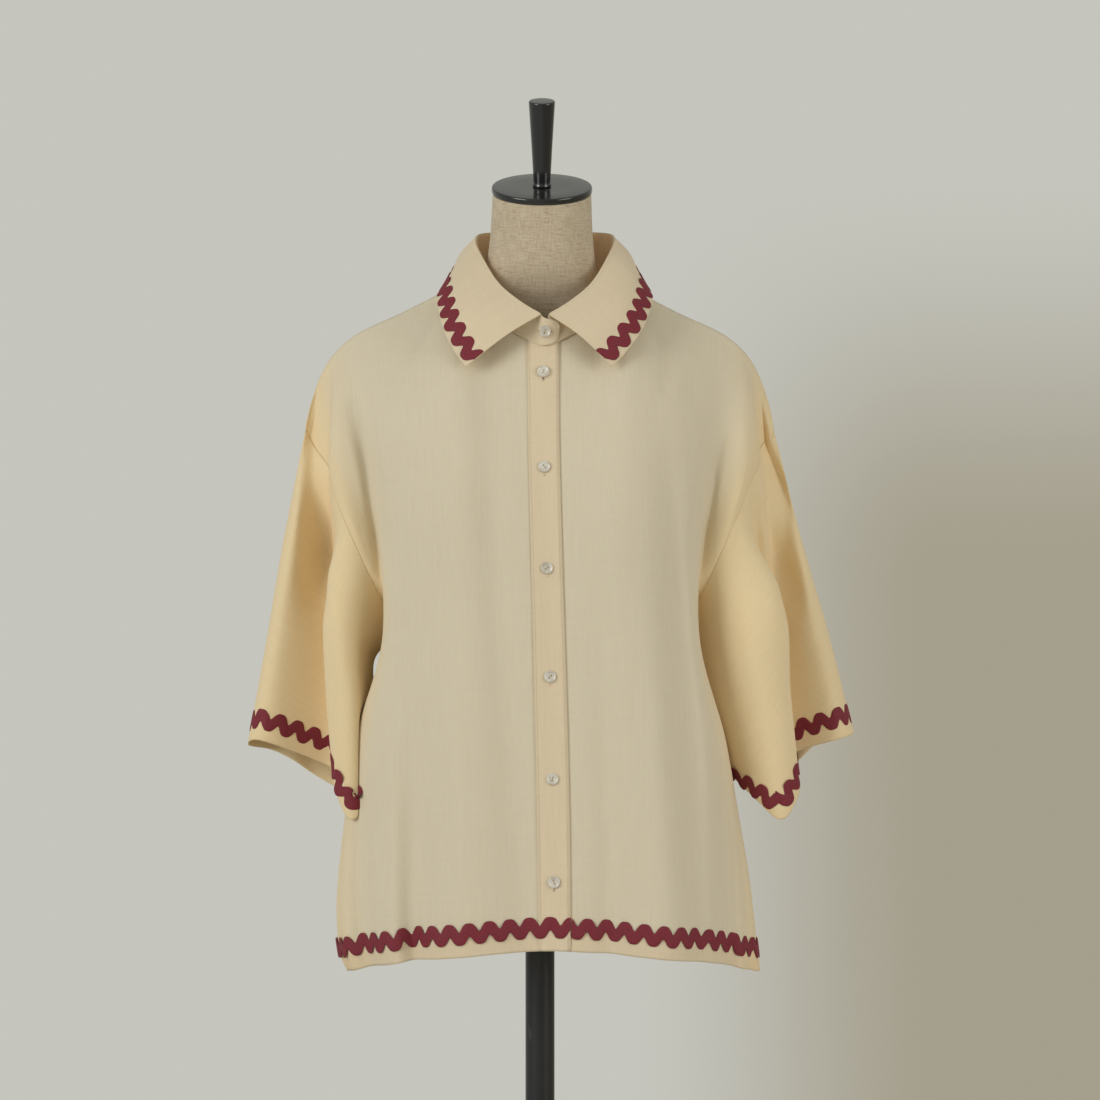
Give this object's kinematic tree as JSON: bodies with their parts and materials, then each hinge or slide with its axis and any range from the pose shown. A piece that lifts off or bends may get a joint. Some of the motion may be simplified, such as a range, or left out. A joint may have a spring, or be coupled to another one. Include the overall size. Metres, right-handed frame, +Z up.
{
  "type": "ric-rac trimmed shirt on a limbless dress form",
  "caption": "Wide cream cotton shirt with short dropped sleeves, a spread collar and wavy burgundy ric-rac edging, worn by a limbless linen dress form on a pole stand.",
  "frame": {"origin": "centre of the underside of the stand's base, on the floor", "axes": "+Z up, -Y the front of the shirt, +X the wearer's left"},
  "size_m": [0.6058, 0.33, 1.3785],
  "materials": {
    "cotton": "plain-woven light cotton, cream, matt and a little translucent",
    "ricrac": "woven burgundy ric-rac braid, matt",
    "button": "polished pale shell with a faint pearly sheen",
    "linen": "coarse unbleached linen stretched over the form, matt",
    "black_lacquer": "gloss black lacquer on turned wood",
    "black_metal": "satin black paint with fine scuffs"
  },
  "bodies": {
    "root": {"front_left": "cotton", "front_right": "cotton", "back": "cotton", "placket": "cotton", "sleeve_left": "cotton", "sleeve_right": "cotton", "collar_stand": "cotton", "collar_leaf": "cotton", "ricrac_hem_front_left": "ricrac", "ricrac_hem_front_right": "ricrac", "ricrac_placket": "ricrac", "ricrac_hem_back": "ricrac", "ricrac_sleeve_left": "ricrac", "ricrac_sleeve_right": "ricrac", "ricrac_collar": "ricrac", "button_1": "button", "button_2": "button", "button_3": "button", "button_4": "button", "button_5": "button", "button_6": "button", "button_7": "button", "dress_form": "linen", "neck_cap": "black_lacquer", "cap_handle": "black_lacquer", "pole": "black_metal", "stand_base": "black_metal"}
  },
  "joints": []
}
